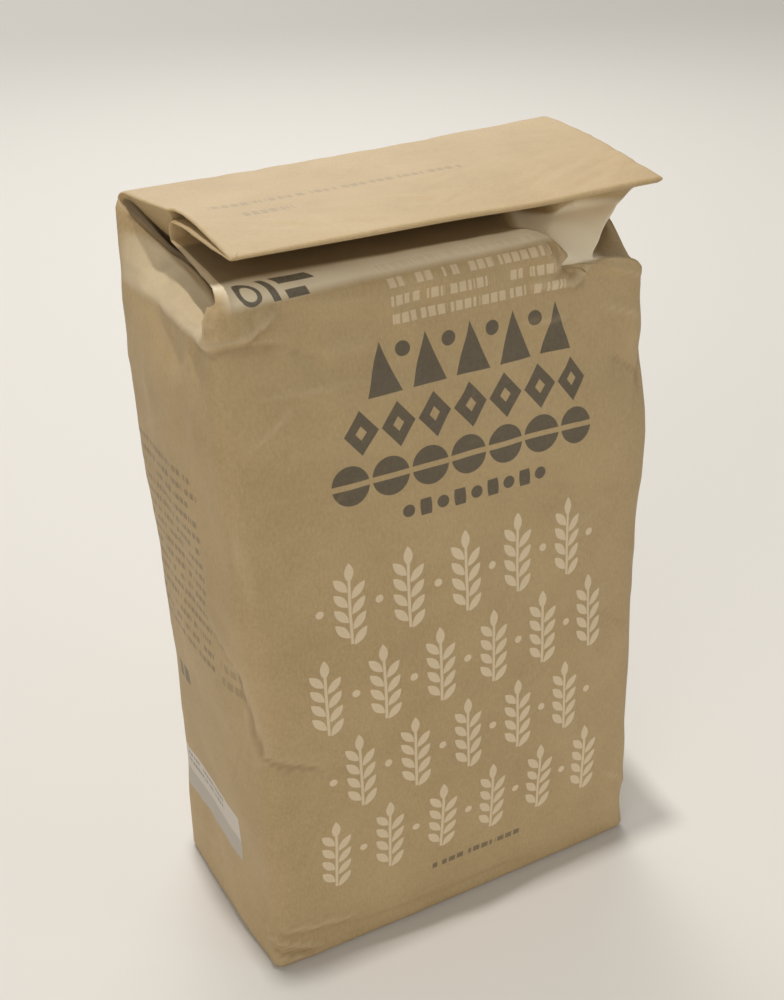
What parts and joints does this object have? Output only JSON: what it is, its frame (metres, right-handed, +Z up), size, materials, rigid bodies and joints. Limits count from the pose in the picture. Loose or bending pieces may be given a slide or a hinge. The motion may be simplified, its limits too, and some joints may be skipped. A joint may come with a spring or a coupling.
{
  "type": "bag of flour",
  "caption": "Filled paper bag of flour standing on a flat block bottom, with its top folded forward and closed, side gussets tucked in and a printed front",
  "frame": {"origin": "the middle of the whole bag's box, at the height of the base it stands on", "axes": "+Z is up, from the base to the folded top; the printed front faces -Y and +X is to a viewer's right, so the folded flap points to -Y"},
  "size_m": [0.134, 0.0734, 0.2166],
  "materials": {
    "kraft_paper": "matte, with flat ink print"
  },
  "bodies": {
    "root": {"flour_bag": "kraft_paper"}
  },
  "joints": []
}
